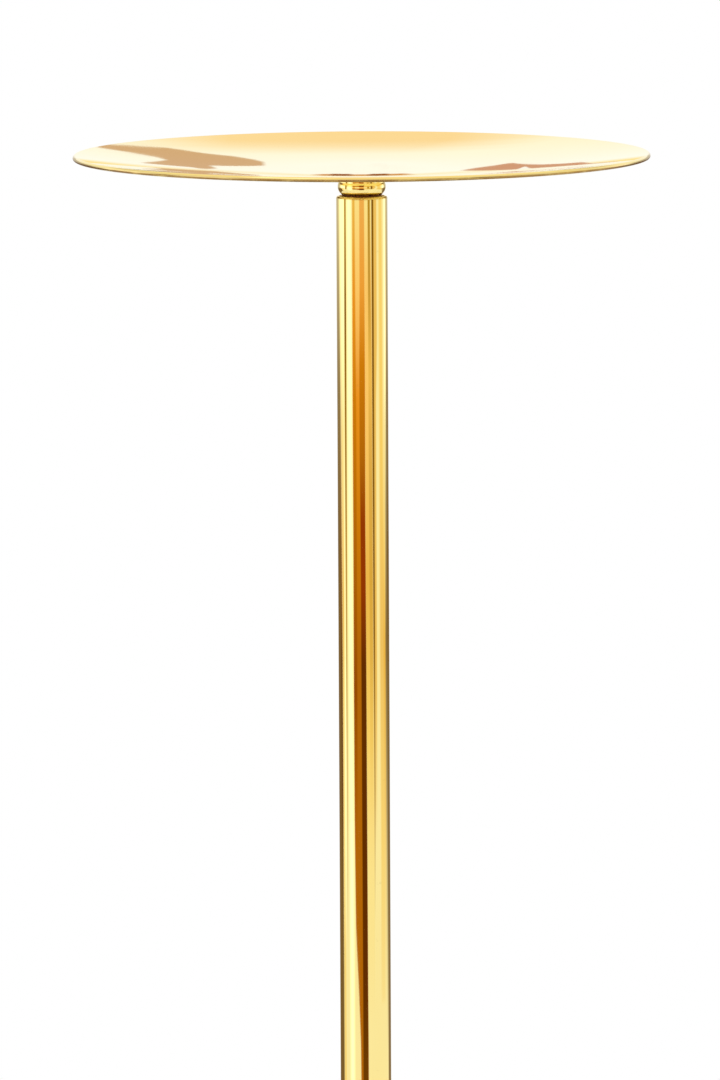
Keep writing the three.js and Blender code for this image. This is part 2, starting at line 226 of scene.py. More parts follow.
class Graph:
    """A material's or world's node tree, with one method that adds any node to it."""

    def __init__(self, owner):
        owner.use_nodes = True
        self.owner, self.tree = owner, owner.node_tree
        self.tree.nodes.clear()

    def add(self, kind, settings=None, sockets=None, out=0):
        node = self.tree.nodes.new(kind)
        for name, value in (settings or {}).items():
            setattr(node, name, value)
        for key, value in (sockets or {}).items():
            if isinstance(value, Value):
                self.tree.links.new(value.source, node.inputs[key])
            else:
                is_colour = node.inputs[key].type == "RGBA"
                node.inputs[key].default_value = (*value, 1) if is_colour else value
        return Value(self, node.outputs[out]) if node.outputs else None

    def mix(self, factor, first, second):
        return self.add(
            "ShaderNodeMix", {"data_type": "RGBA"}, {0: factor, 6: first, 7: second}, out=2
        )

    def place(self, scale=(1, 1, 1)):
        """Where a point is on the piece, stretched by a scale."""
        here = self.add("ShaderNodeTexCoord", out="Object")
        return self.add("ShaderNodeVectorMath", {"operation": "MULTIPLY"}, {0: here, 1: scale})

    def height(self):
        return self.add("ShaderNodeSeparateXYZ", None, {0: self.place()}, out="Z")

    def radius(self):
        flat = self.place((1, 1, 0))
        return self.add("ShaderNodeVectorMath", {"operation": "LENGTH"}, {0: flat}, out="Value")

    def noise(self, scale, detail, roughness=0.5):
        """Cloudy noise whose scale is in lumps per metre along each axis."""
        values = {"Vector": self.place(scale), "Scale": 1.0, "Detail": detail}
        return self.add("ShaderNodeTexNoise", None, {**values, "Roughness": roughness})

    def rings(self, fineness):
        """Turning marks: they change with the distance from the axis and with the height."""
        along = (self.radius() + self.height()) * fineness
        values = {"W": along, "Detail": 2.0}
        return self.add("ShaderNodeTexNoise", {"noise_dimensions": "1D"}, values)

    def bumped(self, height):
        return self.add("ShaderNodeBump", None, {"Height": height, "Distance": 1.0})

    def mix_shader(self, factor, first, second):
        return self.add("ShaderNodeMixShader", None, {0: factor, 1: first, 2: second})

    def principled(self, **sockets):
        named = {}
        for name, value in sockets.items():
            named[name.replace("_", " ").title().replace("Ior", "IOR")] = value
        return self.add("ShaderNodeBsdfPrincipled", None, named)

    def surface(self, shader):
        """Gives the material this shader, and returns the material."""
        self.add("ShaderNodeOutputMaterial", None, {"Surface": shader})
        return self.owner

    def coat(self, **sockets):
        """Gives the material one Principled BSDF, and returns the material."""
        return self.surface(self.principled(**sockets))


def material(name):
    """The node graph of a new material."""
    return Graph(bpy.data.materials.new(name))


# ---------------------------------------------------------------- finishes

SPUN_LINES, TURNED_LINES = 1400, 5200  # marks per metre on polished and on turned brass


def scaled(tint, amount):
    return tuple(amount * channel for channel in tint)


def polished_brass(name, finish, lines, film_lines, film_line_share):
    """Mirror brass: a little cloudy, wiped, finely lined, and browner along given lines.

    lines makes the graph's noise of polishing or turning marks. The brown lines are given by
    radius and height, with a film as strong as the share given: at seams it is polish and dirt
    that collect, and under the pan's rim it is partly tarnish and partly painted shade.
    """
    graph = material(name)
    marks = lines(graph)
    cloud = graph.noise((9, 9, 7), 3).between(0.35, 0.7)
    wiped = graph.noise((22, 22, 8), 4, 0.6).between(0.45, 0.72)
    specks = graph.noise((210, 210, 210), 4, 0.6).between(0.66, 0.8)
    film = specks * finish.tarnish_share
    radius, height = graph.radius(), graph.height()
    # Brown film along each line: at seams, polish and dirt; under the pan's rim, partly tarnish
    # and partly painted shade.
    for line_radius, line_height in film_lines:
        away = abs(radius - line_radius) + abs(height - line_height)
        near = 1 - away.between(0.2 * finish.film_reach, finish.film_reach)
        patchy = graph.noise((90, 90, 160), 3).between(0.2, 0.6) * 0.5 + 0.5
        film = film + near * patchy * film_line_share
    warm = graph.mix(cloud * finish.warm_share, finish.brass, finish.brass_deep)
    wave = graph.noise((14, 14, 14), 1)
    ripple = graph.noise((260, 260, 150), 2)
    dull = wiped * finish.smear + marks * finish.scuff + film * finish.dulling
    return graph.coat(
        base_color=graph.mix(film, warm, finish.tarnish_and_shade_tint),
        metallic=1.0,
        roughness=finish.polish + dull,
        normal=graph.bumped(wave * (30 * UM) + ripple * (1.2 * UM) + marks * (0.3 * UM)),
    )


def along_column(graph):
    """Polishing lines that run up a tube."""
    return graph.noise((1500, 1500, 9), 2)


def round_axis(graph):
    """Polishing lines that run round a spun or turned piece."""
    return graph.rings(SPUN_LINES)


def turned_brass(finish):
    graph = material("turned_brass")
    marks = graph.rings(TURNED_LINES)
    stain = graph.noise((130, 130, 130), 4, 0.6).between(0.45, 0.75)
    return graph.coat(
        base_color=graph.mix(stain * 0.45, finish.turned, scaled(finish.turned, 0.55)),
        metallic=1.0,
        roughness=0.24 + marks * 0.16 + stain * 0.12,
        normal=graph.bumped(marks * (12 * UM)),
    )


def zinc_plate(finish):
    graph = material("zinc_steel")
    bloom = graph.noise((260, 260, 260), 3, 0.6).between(0.4, 0.7)
    grain = graph.noise((1800, 1800, 1800), 2)
    return graph.coat(
        base_color=graph.mix(bloom * 0.5, finish.zinc, finish.straw),
        metallic=1.0,
        roughness=0.26 + bloom * 0.14 + grain * 0.06,
        normal=graph.bumped(grain * (4 * UM)),
    )


def cast_iron(finish):
    graph = material("cast_iron")
    lumps = graph.noise((420, 420, 420), 4, 0.62)
    rust = graph.noise((55, 55, 55), 5, 0.65).between(0.56, 0.72)
    return graph.coat(
        base_color=graph.mix(rust * 0.7, finish.iron, finish.rust),
        metallic=0.35 - rust * 0.3,
        roughness=0.62 + lumps * 0.25,
        normal=graph.bumped(lumps * (400 * UM)),
    )


# The washer's dark brown is partly fibre and partly painted shade for the gap under the neck.
def brown_fibre(finish):
    graph = material("brown_fibre")
    strands = graph.noise((2600, 700, 4000), 4, 0.65)
    shade = strands.between(0.4, 0.75)
    return graph.coat(
        base_color=graph.mix(shade, finish.fibre_and_gap_shade, scaled(finish.fibre_and_gap_shade, 0.4)),
        roughness=0.7 + strands * 0.2,
        normal=graph.bumped(strands * (30 * UM)),
    )


def green_felt(finish):
    """Dense wool: matted fibres that run every way, a little pilled, with a soft sheen."""
    graph = material("green_felt")
    one_way = graph.noise((5200, 900, 2600), 3, 0.6)
    other_way = graph.noise((900, 5200, 2600), 3, 0.6)
    matted = one_way * 0.5 + other_way * 0.5
    pilled = graph.noise((95, 95, 95), 3).between(0.4, 0.75)
    shade = matted.between(0.36, 0.64) * 0.75 + pilled * 0.25
    return graph.coat(
        base_color=graph.mix(shade, finish.felt, scaled(finish.felt, 2.1)),
        roughness=0.96,
        sheen_weight=0.35,
        sheen_roughness=0.5,
        normal=graph.bumped(matted * (350 * UM) + pilled * (150 * UM)),
    )


def soft_solder(finish):
    graph = material("soft_solder")
    flow = graph.noise((340, 340, 900), 3, 0.6)
    shade = flow.between(0.4, 0.75)
    return graph.coat(
        base_color=graph.mix(shade, finish.solder, scaled(finish.solder, 0.45)),
        metallic=1.0,
        roughness=0.28 + flow * 0.25,
        normal=graph.bumped(flow * (120 * UM)),
    )


# ---------------------------------------------------------------- turned meshes

FINEST_TURN = math.radians(8)  # the most that a rounded corner turns between two points
ON_AXIS = 0.1 * UM  # a point nearer to the axis than this is on it


def rounded(corners):
    """The outline through corners given as radius, height and fillet."""
    points = []
    for i, (radius, height, fillet) in enumerate(corners):
        here = Vector((radius, height))
        if not fillet:
            points.append(here)
            continue
        back = (Vector(corners[i - 1][:2]) - here).normalized()
        ahead = (Vector(corners[(i + 1) % len(corners)][:2]) - here).normalized()
        turn = math.pi - back.angle(ahead)
        centre = here + (back + ahead).normalized() * fillet / math.cos(turn / 2)
        reach = fillet * math.tan(turn / 2)
        start, end = here + back * reach - centre, here + ahead * reach - centre
        sense = math.copysign(turn, start.x * end.y - start.y * end.x)
        steps = max(2, math.ceil(turn / FINEST_TURN))
        for step in range(steps + 1):
            points.append(centre + Matrix.Rotation(sense * step / steps, 2) @ start)
    return points


def arc(x, y, radius, first, last, steps):
    """Points round a circle from one angle to another, both ends included."""
    turns = [first + (last - first) * step / steps for step in range(steps + 1)]
    return [Vector((x + radius * math.cos(t), y + radius * math.sin(t))) for t in turns]


def offset(points, distance):
    """An open outline moved sideways, to the right of the way it runs."""
    sides = [Vector((b.y - a.y, a.x - b.x)).normalized() for a, b in zip(points, points[1:])]
    moved = []
    for i, point in enumerate(points):
        before, after = sides[max(i - 1, 0)], sides[min(i, len(sides) - 1)]
        middle = (before + after).normalized()
        moved.append(point + middle * distance / middle.dot(before))
    return moved


def plain(points):
    """Outline points as corners without fillets."""
    return [(point.x, point.y, 0) for point in points]


def new_mesh(name, vertices, faces):
    mesh = bpy.data.meshes.new(name)
    mesh.from_pydata(vertices, [], faces)
    return mesh


def in_scene(data):
    """A new object in the scene that holds a mesh, a lamp or a camera of the same name."""
    made = bpy.data.objects.new(data.name, data)
    bpy.context.scene.collection.objects.link(made)
    return made


def turned_mesh(name, outline, sides):
    """A closed half section turned about the column's axis, with smooth normals.

    A point's normal leans towards its longer neighbour, so flats and long walls stay straight
    beside a small rounded edge.
    """
    area = sum(a.x * b.y - b.x * a.y for a, b in zip(outline, outline[1:] + outline[:1]))
    points = outline if area > 0 else outline[::-1]
    on_axis = [point.x < ON_AXIS for point in points]
    vertices, normals, faces, rows = [], [], [], []
    for i, point in enumerate(points):
        lean = Vector((0, 0))
        for a, b in ((i - 1, i), (i, (i + 1) % len(points))):
            if not (on_axis[a] and on_axis[b]):
                lean += Vector((points[b].y - points[a].y, points[a].x - points[b].x))
        lean = Vector((0, lean.y)) if on_axis[i] else lean
        lean.normalize()
        rows.append([])
        for side in range(1 if on_axis[i] else sides):
            turn = 2 * math.pi * side / sides
            east, north = math.cos(turn), math.sin(turn)
            rows[i].append(len(vertices))
            vertices.append((point.x * east, point.x * north, point.y))
            normals.append((lean.x * east, lean.x * north, lean.y))
    for lower, upper in zip(rows, rows[1:] + rows[:1]):
        for side in range(sides):
            after = (side + 1) % sides
            if len(lower) > 1 and len(upper) > 1:
                faces.append((lower[side], lower[after], upper[after], upper[side]))
            elif len(lower) > 1:
                faces.append((lower[side], lower[after], upper[0]))
            elif len(upper) > 1:
                faces.append((lower[0], upper[after], upper[side]))
    mesh = new_mesh(name, vertices, faces)
    mesh.shade_smooth()
    mesh.normals_split_custom_set_from_vertices(normals)
    return mesh


def show(mesh, finish, body, slot, *nodes):
    """Puts a mesh on a body in place of CAD nodes."""
    piece = in_scene(mesh)
    mesh.materials.append(finish)
    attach(piece, body)
    if nodes:
        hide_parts(*nodes)
    return piece


def ends(node):
    """The lowest and highest points of a CAD node."""
    low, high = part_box(node)
    return low.z, high.z


# ---------------------------------------------------------------- pan and neck

SPUN_SIDES = 256  # how finely the pan and the base's shell are drawn
BEAD_SIDES, STUD_SIDES = 96, 72  # and the solder bead and the stud
SEAT_RINGS = (0, 0.4, 0.8, 0.97)  # rings of points in the flat seat, by shares of its radius
RIM_FILM_AND_SHADE = 0.85  # how far down the roll the brown film lies, as a share of its thickness: partly tarnish, partly painted shade
THREAD_CREST = 0.03 * MM  # how far the worn crests lie inside the thread's full radius
THREAD_DEPTH = 0.6  # depth of the thread, in pitches
THREAD_SLOPE, THREAD_FLAT = 2.6, 0.15  # how sharply the flanks fall, and how flat the crests are
THREAD_ROWS = 14  # rows of points in each turn of the thread
CHAMFER = 1 * MM  # at both ends of the stud
SHARP = math.radians(50)  # edges of the stud that bend more than this look sharp
COVE_FILL = 0.95  # how much of the cove its fillet takes, which leaves the bead its last point


def pan_outline(pan, bottom, top):
    """One spun sheet: a flat candle seat, a slow upward curve and an edge rolled under."""
    seat, bead = pan.seat / 2, pan.roll / 2
    run = pan.diameter / 2 - bead - seat
    rise = top - bottom - pan.wall
    slope = math.atan(2 * rise / run)
    face = [Vector((seat * ring, bottom + pan.wall)) for ring in SEAT_RINGS]
    steps = 48
    for step in range(steps + 1):
        out = step / steps * (run - bead * math.sin(slope))
        face.append(Vector((seat + out, bottom + pan.wall + rise * (out / run) ** 2)))
    first = math.pi / 2 + slope
    meets = 1.5 * math.pi + math.asin(max(-1, 1 - pan.wall / bead))
    centre = seat + run, top - bead / math.cos(slope)
    roll = arc(*centre, bead, first, first - meets, steps=40)[1:]
    underside = [point for point in offset(face, pan.wall) if point.x < roll[-1].x]
    return face + roll + underside[::-1]


def neck_outline(neck, land_radius, bottom, top):
    """A fat bead that draws in at its lower edge, and a cove that spreads to the flange."""
    land_bottom = top - neck.land
    bore = neck.thread / 2 + neck.clearance
    bend = (neck.bead_low**2 + neck.undercut**2) / (2 * neck.undercut)
    middle = bottom + neck.bead_low
    first = -math.asin(neck.bead_low / bend)
    last = math.asin((land_bottom - neck.cove - middle) / bend)
    bead = arc(neck.diameter / 2 - bend, middle, bend, first, last, steps=26)
    fine, mouth, edge = 0.2 * MM, 0.3 * MM, 0.25 * MM
    return rounded([
        (0, bottom + neck.tap_depth, 0),
        (bore, bottom + neck.tap_depth, fine),
        (bore, bottom, mouth),
        (bead[0].x, bead[0].y, fine),
        *plain(bead[2:-1]),
        (bead[-1].x, land_bottom, COVE_FILL * neck.cove),
        (land_radius, land_bottom, edge),
        (land_radius, top, edge),
        (0, top, 0),
    ])


def washer_outline(neck, edge, bottom, top):
    bore = neck.thread / 2 + neck.clearance
    return rounded([
        (bore, bottom, 0),
        (edge, bottom, neck.washer_round),
        (edge, top, neck.washer_round),
        (bore, top, 0),
    ])


def threaded_stud(neck, bottom, top):
    """A stud with a rolled thread: its radius follows a helix, with chamfered ends."""
    sides = STUD_SIDES
    crest = neck.thread / 2 - THREAD_CREST
    rows = round((top - bottom) / neck.pitch * THREAD_ROWS)
    vertices, faces = [], []
    for row in range(rows + 1):
        height = bottom + (top - bottom) * row / rows
        from_end = min(height - bottom, top - height)
        limit = neck.thread / 2 - CHAMFER + from_end
        for side in range(sides):
            turn = side / sides
            from_crest = abs((height / neck.pitch - turn) % 1 - 0.5)
            flank = min(1, max(0, THREAD_SLOPE * from_crest - THREAD_FLAT))
            radius = min(limit, crest - THREAD_DEPTH * neck.pitch * flank)
            east, north = math.cos(2 * math.pi * turn), math.sin(2 * math.pi * turn)
            vertices.append((radius * east, radius * north, height))
    for row in range(rows):
        for side in range(sides):
            after = (side + 1) % sides
            low, high = row * sides, (row + 1) * sides
            faces.append((low + side, low + after, high + after, high + side))
    faces.append(tuple(reversed(range(sides))))
    faces.append(tuple(rows * sides + side for side in range(sides)))
    mesh = new_mesh("threaded_stud", vertices, faces)
    mesh.shade_smooth()
    mesh.set_sharp_from_angle(angle=SHARP)
    return mesh


def bead_outline(radius, middle, thickness):
    """A ring with a round section."""
    return arc(radius, middle, thickness / 2, 0, 2 * math.pi, steps=14)[:-1]


class CANDLESTAND_OT_pan(Operator):
    """Spins the shallow pan with its rolled rim"""

    bl_idname = "candlestand.pan"
    bl_label = "Pan"

    def execute(self, context):
        stand = context.scene.candle_stand
        pan, finish = stand.pan, stand.finish
        bottom, top = ends("pan")
        mesh = turned_mesh("spun_pan", pan_outline(pan, bottom, top), SPUN_SIDES)
        # The brown film on the lowest outer part of the roll is partly tarnish and partly painted
        # shade.
        film_lines = ((pan.diameter / 2, top - RIM_FILM_AND_SHADE * pan.roll),)
        brass = polished_brass("spun_pan_brass", finish, round_axis, film_lines, finish.rim_film_and_shade_share)
        show(mesh, brass, "pan_top", "polished_brass", "pan")
        return {"FINISHED"}


class CANDLESTAND_OT_neck(Operator):
    """Turns the neck, its washer and threaded stud, and runs solder under the pan"""

    bl_idname = "candlestand.neck"
    bl_label = "Neck"

    def execute(self, context):
        stand = context.scene.candle_stand
        neck, finish, sides = stand.neck, stand.finish, stand.studio.sides
        bottom, top = ends("pan_neck")
        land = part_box("pan_neck")[1].x
        film_lines = ((neck.diameter / 2 - neck.undercut, bottom), (land, top))
        brass = polished_brass("turned_neck_brass", finish, round_axis, film_lines, finish.film_line_share)
        mesh = turned_mesh("turned_neck", neck_outline(neck, land, bottom, top), sides)
        show(mesh, brass, "pan_top", "polished_brass", "pan_neck")
        joint = (top + ends("pan")[0]) / 2
        mesh = turned_mesh("solder_bead", bead_outline(land, joint, neck.solder), BEAD_SIDES)
        show(mesh, soft_solder(finish), "pan_top", "polished_brass")
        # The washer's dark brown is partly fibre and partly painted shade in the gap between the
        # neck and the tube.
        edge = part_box("neck_washer")[1].x
        outline = washer_outline(neck, edge, *ends("neck_washer"))
        mesh = turned_mesh("fibre_washer", outline, sides)
        show(mesh, brown_fibre(finish), "pan_top", "brown_fibre", "neck_washer")
        stud = threaded_stud(neck, *ends("pan_stud"))
        show(stud, zinc_plate(finish), "screw", "zinc_steel", "pan_stud")
        return {"FINISHED"}


# ---------------------------------------------------------------- column and base

BOSS_RING = 0.95  # the outer ring of points in the flat boss, as a share of its radius
FOOT_FILL = 0.97  # how much of the collar's round is used where its foot meets the hollow
FELT_SIDES = 360
FELT_RINGS = (0.97, 0.9, 0.75, 0.5, 0.25)  # rings of points in the felt, by shares of its radius
FELT_CUT = 0.98  # how far out the cut edge begins, as a share of the radius
FUZZ, FINE_FUZZ = 420, 1500  # lumps per metre of the uneven cut


def tube_outline(column, bottom, top, top_round):
    radius = column.diameter / 2
    bore = radius - column.wall
    return rounded([
        (bore, bottom, column.bore_round),
        (radius, bottom, column.joint_round),
        (radius, top, top_round),
        (bore, top, column.bore_round),
    ])


class CANDLESTAND_OT_column(Operator):
    """Draws the two polished tubes of the column"""

    bl_idname = "candlestand.column"
    bl_label = "Column"

    def execute(self, context):
        stand = context.scene.candle_stand
        column, finish = stand.column, stand.finish
        joints = (ends("foot_collar")[1], ends("lower_tube")[1], ends("upper_tube")[1])
        film_lines = [(column.diameter / 2, joint) for joint in joints]
        brass = polished_brass("drawn_tube_brass", finish, along_column, film_lines, finish.film_line_share)
        rounds = {"lower_tube": column.joint_round, "upper_tube": column.top_round}
        for node, top_round in rounds.items():
            outline = tube_outline(column, *ends(node), top_round)
            mesh = turned_mesh(f"polished_{node}", outline, stand.studio.sides)
            show(mesh, brass, "stand", "polished_brass", node)
        return {"FINISHED"}


def crown(base, top):
    """The base from its middle out and down to where the skirt hangs straight."""
    boss = base.boss / 2
    shoulder_x = base.diameter / 2 - base.shoulder
    run = shoulder_x + base.shoulder * math.sin(base.slope) - boss
    drop = run * math.tan(base.slope) / 2
    shoulder_y = top - drop - base.shoulder * math.cos(base.slope)
    points = [Vector((base.bore / 2, top)), Vector((BOSS_RING * boss, top))]
    steps = 30
    for step in range(steps + 1):
        way = step / steps
        points.append(Vector((boss + way * run, top - drop * way**2)))
    turn = math.pi / 2 - base.slope
    return points + arc(shoulder_x, shoulder_y, base.shoulder, turn, 0, steps=16)[1:]


def shell_outline(base, bottom, top):
    outside = crown(base, top)
    inside = offset(outside, base.wall)
    edge = 0.45 * base.wall
    skirt = [
        (base.diameter / 2, bottom, edge),
        (base.diameter / 2 - base.wall, bottom, edge),
    ]
    return rounded(plain(outside) + skirt + plain(inside[::-1]))


def collar_outline(base, column, bottom, top):
    """A cup whose foot sweeps up in a hollow curve to the sleeve round the column."""
    flange, sleeve = base.flange / 2, base.sleeve / 2
    bore = column.diameter / 2 + base.fit
    cove = flange - sleeve - base.collar_round
    cove_top = top - base.collar_round
    cove_height = cove_top - bottom - base.flange_height
    hollow = [
        (sleeve + cove + cove * way.x, cove_top + cove_height * way.y, 0)
        for way in arc(0, 0, 1, 1.5 * math.pi, math.pi, steps=16)[:-1]
    ]
    foot_edge, mouth = 0.3 * MM, 0.4 * MM
    return rounded([
        (base.bore / 2, bottom, 0),
        (flange, bottom, foot_edge),
        (flange, bottom + base.flange_height, FOOT_FILL * base.collar_round),
        *hollow,
        (sleeve, top, base.collar_round),
        (bore, top, mouth),
        (bore, bottom + base.collar_floor, 0),
        (base.bore / 2, bottom + base.collar_floor, 0),
    ])


def felt_mesh(base, radius, bottom, top):
    """A felt disc whose cut edge is slightly uneven and furry."""
    rings = [(radius * ring, top, 0) for ring in FELT_RINGS]
    lower_edge, upper_edge = 0.7 * MM, 1.0 * MM
    outline = rounded([
        (0, bottom, 0),
        (FELT_RINGS[0] * radius, bottom, 0),
        (radius, bottom, lower_edge),
        (radius, top, upper_edge),
        *rings,
        (0, top, 0),
    ])
    mesh = turned_mesh("felt_disc", outline, FELT_SIDES)
    for vertex in mesh.vertices:
        place = vertex.co
        out = Vector((place.x, place.y, 0))
        if out.length > FELT_CUT * radius:
            coarse, fine = noise.noise(place * FUZZ), noise.noise(place * FINE_FUZZ)
            inward = base.felt_fuzz * (0.5 + coarse * 0.6 + fine * 0.4)
            vertex.co -= out.normalized() * inward
    return mesh


class CANDLESTAND_OT_base(Operator):
    """Spins the base's shell and turns the collar that the column stands in"""

    bl_idname = "candlestand.base"
    bl_label = "Base"

    def execute(self, context):
        stand = context.scene.candle_stand
        base, finish = stand.base, stand.finish
        bottom, top = ends("base_shell")
        film_lines = ((base.diameter / 2, bottom), (base.flange / 2, top))
        brass = polished_brass("spun_base_brass", finish, round_axis, film_lines, finish.film_line_share)
        mesh = turned_mesh("spun_shell", shell_outline(base, bottom, top), SPUN_SIDES)
        show(mesh, brass, "stand", "polished_brass", "base_shell")
        low, high = ends("foot_collar")
        outline = collar_outline(base, stand.column, low, high)
        mesh = turned_mesh("turned_collar", outline, stand.studio.sides)
        film_lines = ((base.flange / 2, low), (stand.column.diameter / 2, high))
        name = "turned_collar_brass"
        brass = polished_brass(name, finish, round_axis, film_lines, finish.film_line_share)
        show(mesh, brass, "stand", "polished_brass", "foot_collar")
        return {"FINISHED"}


class CANDLESTAND_OT_felt(Operator):
    """Cuts the felt disc under the base"""

    bl_idname = "candlestand.felt"
    bl_label = "Felt"

    def execute(self, context):
        stand = context.scene.candle_stand
        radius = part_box("felt_pad")[1].x
        mesh = felt_mesh(stand.base, radius, *ends("felt_pad"))
        wool = green_felt(stand.finish)
        felt = show(mesh, wool, "stand", "green_felt", "felt_pad")
        return {"FINISHED"}


class CANDLESTAND_OT_hardware(Operator):
    """Finishes the hidden plugs, bolts, washers, weight and cover"""

    bl_idname = "candlestand.hardware"
    bl_label = "Hardware"

    def execute(self, context):
        finish = context.scene.candle_stand.finish
        finishes = {
            turned_brass(finish): (
                "lower_tube_foot_plug", "lower_tube_head_plug",
                "upper_tube_foot_plug", "upper_tube_head_plug",
            ),
            zinc_plate(finish): (
                "base_cover", "cover_screw_1", "cover_screw_2", "cover_screw_3",
                "base_bolt", "spring_washer", "flat_washer", "joint_stud",
            ),
            cast_iron(finish): ("base_weight",),
        }
        for made, nodes in finishes.items():
            for node in nodes:
                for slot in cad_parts[node].material_slots:
                    slot.material = made
        return {"FINISHED"}


# ---------------------------------------------------------------- studio

FLOOR_SIDES = 128
FLOOR_FADE = (0.35, 0.98)  # where the floor starts and stops fading, by shares of its radius
LAMP_SIZE = 1.8
LAMP_AIM = Vector((0, 0, 0.6))

# Soft square lamps: where each one hangs, and its power in watts.
LAMPS = {
    "key_lamp": ((-1.9, -2.3, 2.7), 70),
    "fill_lamp": ((2.4, -1.4, 2.2), 35),
    "back_lamp": ((0.6, 2.4, 2.5), 35),
}

# What the mirror brass shows of the room: colours by name, as plain light.
TONES = {
    "glare": (1.6, 1.55, 1.7), "daylight": (1.04, 1.055, 1.05),
    "white": (1.0, 1.0, 1.0), "cream": (1.0, 0.94, 0.74),
    "lemon": (1.0, 0.82, 0.36), "straw": (0.97, 0.77, 0.38),
    "peach": (1.0, 0.8, 0.52), "apricot": (1.0, 0.7, 0.38),
    "gold": (0.86, 0.58, 0.19), "honey": (0.84, 0.35, 0.03),
    "amber": (0.62, 0.235, 0.006), "walnut": (0.45, 0.16, 0.007),
    "chestnut": (0.31, 0.085, 0.002), "mahogany": (0.29, 0.045, 0.002),
    "umber": (0.12, 0.032, 0.001), "olive": (0.46, 0.27, 0.014),
    "moss": (0.24, 0.12, 0.004), "bark": (0.2, 0.13, 0.065),
    "blush": (0.67, 0.45, 0.285), "rust": (0.65, 0.345, 0.225),
    "oatmeal": (0.62, 0.5, 0.35),
}


def board(tone, edges):
    """Rows of one solid tone."""
    return [(*edge, tone, 1) for edge in edges]


